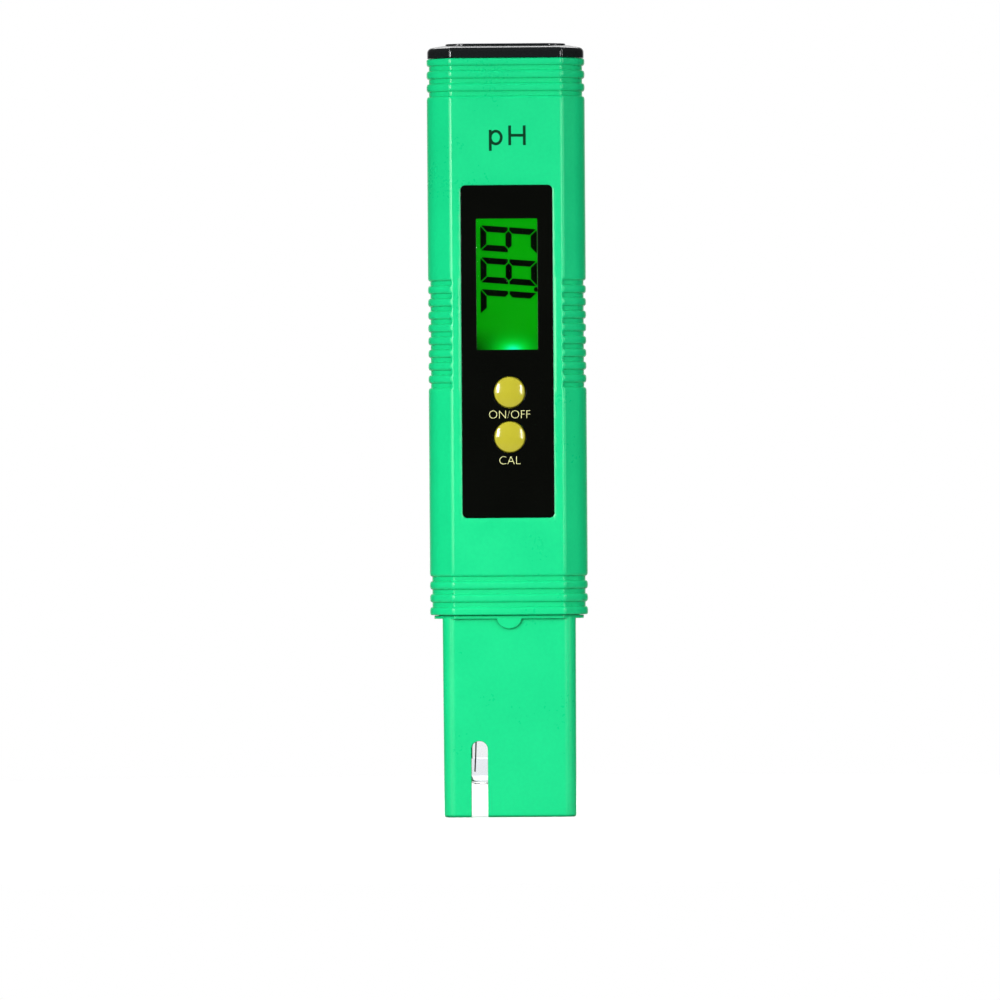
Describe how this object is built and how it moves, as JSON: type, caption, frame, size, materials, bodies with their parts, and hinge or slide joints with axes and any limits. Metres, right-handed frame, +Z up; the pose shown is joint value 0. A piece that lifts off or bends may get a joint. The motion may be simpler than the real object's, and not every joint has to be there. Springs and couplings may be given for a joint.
{
  "type": "pocket ph meter",
  "caption": "Flat pen-shaped pH meter with a lit display, two push buttons, a pull-out battery drawer and a slotted probe skirt round a glass bulb.",
  "frame": {"origin": "middle of the probe skirt's lower rim, where the pen would stand", "axes": "+Z up the pen from the probe to the battery cap, -Y out of the display, +X to the right seen from the front"},
  "size_m": [0.03, 0.0149, 0.147],
  "materials": {
    "green_abs": "satin moulded green ABS",
    "skirt_green_abs": "satin moulded green ABS",
    "black_abs": "semi-gloss black ABS",
    "panel_black": "gloss black",
    "yellow_keys": "glossy domed yellow",
    "clear_acrylic": "clear",
    "glass": "clear",
    "light_guide": "lit green",
    "white_abs": "satin white",
    "board_laminate": "green solder mask",
    "chip_epoxy": "matte black epoxy",
    "ceramic": "matte ceramic",
    "rubber": "matte black rubber",
    "steel": "bright nickel-plated steel",
    "silver": "dull chlorided silver",
    "lead_jacket": "satin red jacket"
  },
  "bodies": {
    "housing": {"housing_sleeve": "green_abs", "probe_skirt": "skirt_green_abs", "front_panel": "panel_black", "display_window": "clear_acrylic", "lcd_front_glass": "glass", "lcd_rear_glass": "glass", "zebra_strip": "rubber", "backlight_guide": "light_guide", "backlight_led": "white_abs", "lcd_frame": "white_abs", "board_carrier": "white_abs", "circuit_board": "board_laminate", "board_screw_1": "steel", "board_screw_2": "steel", "board_screw_3": "steel", "board_screw_4": "steel", "meter_chip": "chip_epoxy", "amplifier_chip": "chip_epoxy", "crystal": "steel", "capacitor_1": "ceramic", "capacitor_2": "ceramic", "power_switch_body": "chip_epoxy", "cal_switch_body": "chip_epoxy", "battery_contact_left": "steel", "battery_contact_right": "steel", "probe_seal": "rubber", "electrode_holder": "white_abs", "glass_electrode": "glass", "electrode_wire": "silver", "tube_stopper": "rubber", "reference_tube": "white_abs", "reference_junction": "ceramic", "reference_wire": "silver", "reference_stopper": "rubber", "temperature_sensor": "steel", "electrode_lead": "lead_jacket", "reference_lead": "lead_jacket", "sensor_lead": "lead_jacket"},
    "battery_drawer": {"battery_cap": "black_abs", "cap_seal": "rubber", "battery_tray": "black_abs", "button_cell_left": "steel", "button_cell_right": "steel", "cell_link": "steel"},
    "power_button": {"power_keycap": "yellow_keys", "power_switch_plunger": "white_abs"},
    "cal_button": {"cal_keycap": "yellow_keys", "cal_switch_plunger": "white_abs"}
  },
  "joints": [
    {"name": "battery_drawer_slide", "type": "slide", "parent": "housing", "child": "battery_drawer", "axis": [0, 0, 1], "range_m": [0, 0.022]},
    {"name": "power_button_press", "type": "slide", "parent": "housing", "child": "power_button", "axis": [0, 1, 0], "range_m": [0, 0.0004], "stiffness_N_per_m": 2500},
    {"name": "cal_button_press", "type": "slide", "parent": "housing", "child": "cal_button", "axis": [0, 1, 0], "range_m": [0, 0.0004], "stiffness_N_per_m": 2500}
  ]
}
